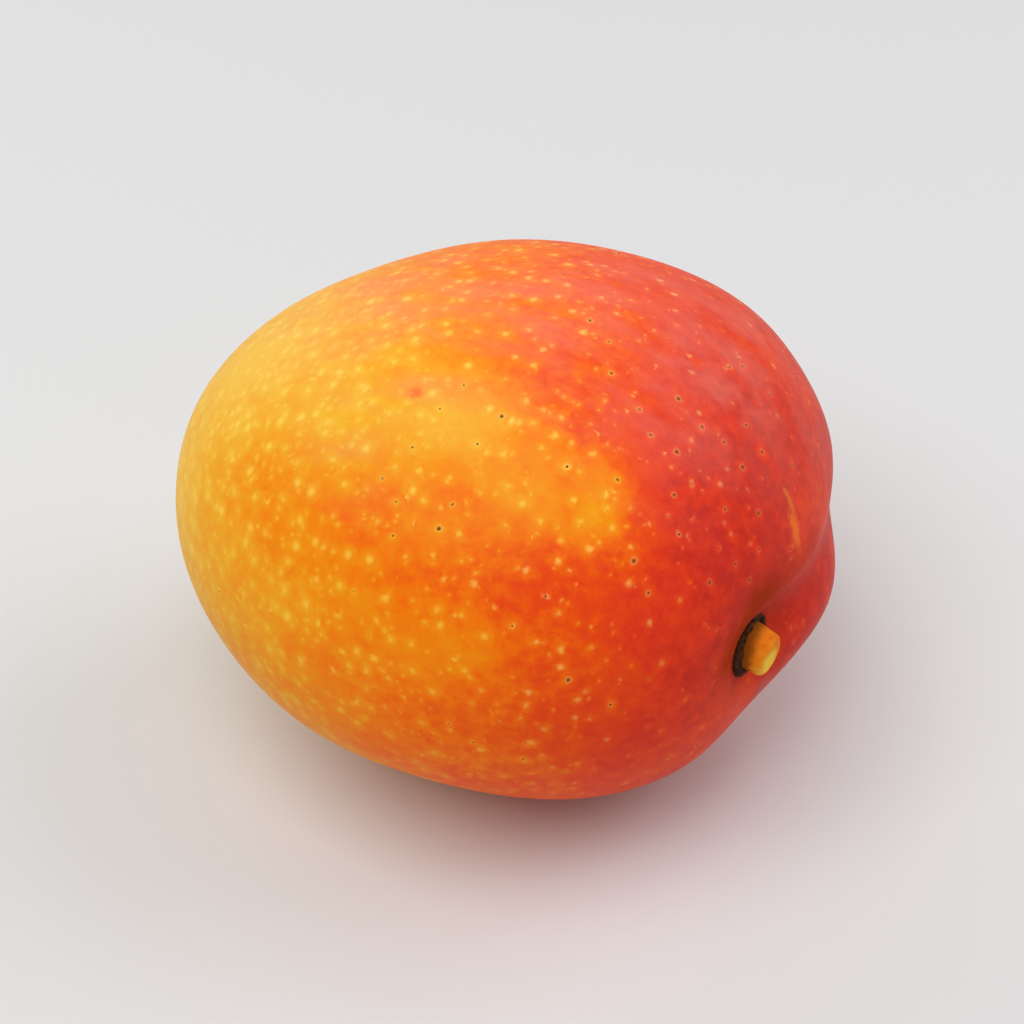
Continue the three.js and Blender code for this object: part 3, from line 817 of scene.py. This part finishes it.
# Young stalk wood: orange, with painted shade darkening its foot by the collar, higher on one side, and pale
# yellow torn fibres on its end.
# Rough, with hardly any shine. Its pattern follows the stalk: upwards, sideways and outwards in millimetres.
wood = bpy.data.materials.new("broken stalk wood")
wood.use_nodes = True
grown_wood = wood.node_tree
wood_coat = grown_wood.nodes["Principled BSDF"]
on_stalk = node(grown_wood, "ShaderNodeAttribute", attribute_name="on_stalk").outputs["Vector"]
stalk_parts = node(grown_wood, "ShaderNodeSeparateXYZ", {0: on_stalk}).outputs
fibres = node(grown_wood, "ShaderNodeTexNoise", {"Vector": on_stalk, "Scale": 0.9, "Detail": 4.0}).outputs[0]
wood_ramp = node(grown_wood, "ShaderNodeValToRGB", {0: fibres})
wood_ramp.color_ramp.elements[0].position = 0.3
wood_ramp.color_ramp.elements[0].color = linear("#DC6C0C")
wood_ramp.color_ramp.elements[1].position = 0.7
wood_ramp.color_ramp.elements[1].color = linear("#F68E1C")
# Painted shade: the stub is darkened brown at its foot by the collar, and the dark edge stands higher on one
# side.
painted_shade_reach = node(grown_wood, "ShaderNodeMath", {0: fibres, 1: 2.0, 2: 1.55},
                 operation="MULTIPLY_ADD").outputs[0]
painted_shade_edge = node(grown_wood, "ShaderNodeMath", {0: stalk_parts[1], 1: 0.35, 2: painted_shade_reach},
                operation="MULTIPLY_ADD")
painted_shade_height = node(grown_wood, "ShaderNodeMath", {0: stalk_parts[2], 1: painted_shade_edge.outputs[0]},
                  operation="SUBTRACT")
painted_foot_shade = node(grown_wood, "ShaderNodeMapRange",
           {"Value": painted_shade_height.outputs[0], "From Min": -0.3, "From Max": 1.4, "To Min": 0.85, "To Max": 0},
           interpolation_type="SMOOTHSTEP").outputs[0]
foot_shaded_wood = node(grown_wood, "ShaderNodeMix", {0: painted_foot_shade, 6: wood_ramp.outputs[0], 7: linear("#8A4606")},
             data_type="RGBA").outputs[2]
torn = node(grown_wood, "ShaderNodeVectorMath", {0: on_stalk, 1: torn_place},
            operation="DISTANCE").outputs["Value"]
torn_edge = node(grown_wood, "ShaderNodeMath", {0: fibres, 1: 3.0, 2: torn},
                 operation="MULTIPLY_ADD").outputs[0]
pale = node(grown_wood, "ShaderNodeMapRange",
            {"Value": torn_edge, "From Min": 2.9, "From Max": 4.8, "To Min": 0.85, "To Max": 0},
            interpolation_type="SMOOTHSTEP").outputs[0]
stub_colour = node(grown_wood, "ShaderNodeMix", {0: pale, 6: foot_shaded_wood, 7: linear("#FBD044")},
                   data_type="RGBA").outputs[2]
grown_wood.links.new(stub_colour, wood_coat.inputs["Base Color"])
wood_coat.inputs["Roughness"].default_value = 0.8
wood_coat.inputs["IOR"].default_value = 1.2
wood_bump = node(grown_wood, "ShaderNodeBump", {"Height": fibres, "Strength": 0.5, "Distance": fibre_height})
grown_wood.links.new(wood_bump.outputs[0], wood_coat.inputs["Normal"])

stub.data.materials.append(wood)
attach(stub, "root")
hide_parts("stem_stub")

# Floor, light and camera: a plain pale table in a bright room, with a large soft light above the near side
# and a window behind on each side. The camera looks down at the near cheek, from a little to the stalk end.
camera_side = math.radians(24)
camera_height = math.radians(38)
camera_distance = 427.5 * mm
camera_aim = Vector((2.15, 0.5, 41.03)) * mm
floor_half = 3.0

floor_mesh = bpy.data.meshes.new("floor")
floor_corners = [(x * floor_half, y * floor_half, 0) for x, y in ((-1, -1), (1, -1), (1, 1), (-1, 1))]
floor_mesh.from_pydata(floor_corners, [], [(0, 1, 2, 3)])
floor = bpy.data.objects.new("floor", floor_mesh)
bpy.context.collection.objects.link(floor)
table = bpy.data.materials.new("pale matt table")
table.use_nodes = True
table_coat = table.node_tree.nodes["Principled BSDF"]
table_coat.inputs["Base Color"].default_value = linear("#DCDCDB")
table_coat.inputs["Roughness"].default_value = 0.7
floor_mesh.materials.append(table)

room = bpy.data.worlds.new("bright room")
bpy.context.scene.world = room
room.use_nodes = True
room.node_tree.nodes["Background"].inputs["Color"].default_value = linear("#F6F8FC")
room.node_tree.nodes["Background"].inputs["Strength"].default_value = 0.35


def soft_light(name, place, size, power):
    """A square light that faces the fruit."""
    lamp = bpy.data.lights.new(name, "AREA")
    lamp.size = size
    lamp.energy = power
    held = bpy.data.objects.new(name, lamp)
    bpy.context.collection.objects.link(held)
    held.location = place
    held.rotation_euler = (Vector(place) - camera_aim).to_track_quat("Z", "Y").to_euler()


soft_light("light above the near side", (-0.14, -0.53, 1.10), 1.0, 9.8)
soft_light("window behind on the right", (0.68, 0.62, 0.81), 1.0, 5.6)
soft_light("window behind on the left", (-0.99, 0.57, 0.41), 1.0, 3.9)

camera = bpy.data.objects.new("camera", bpy.data.cameras.new("camera"))
bpy.context.collection.objects.link(camera)
camera.data.lens = 90
camera.data.sensor_width = 36
camera.data.clip_start = 0.01
level = math.cos(camera_height)
towards = Vector((math.sin(camera_side) * level, -math.cos(camera_side) * level, math.sin(camera_height)))
camera.location = camera_aim + towards * camera_distance
camera.rotation_euler = towards.to_track_quat("Z", "Y").to_euler()
bpy.context.scene.camera = camera
bpy.context.scene.view_settings.view_transform = "Standard"
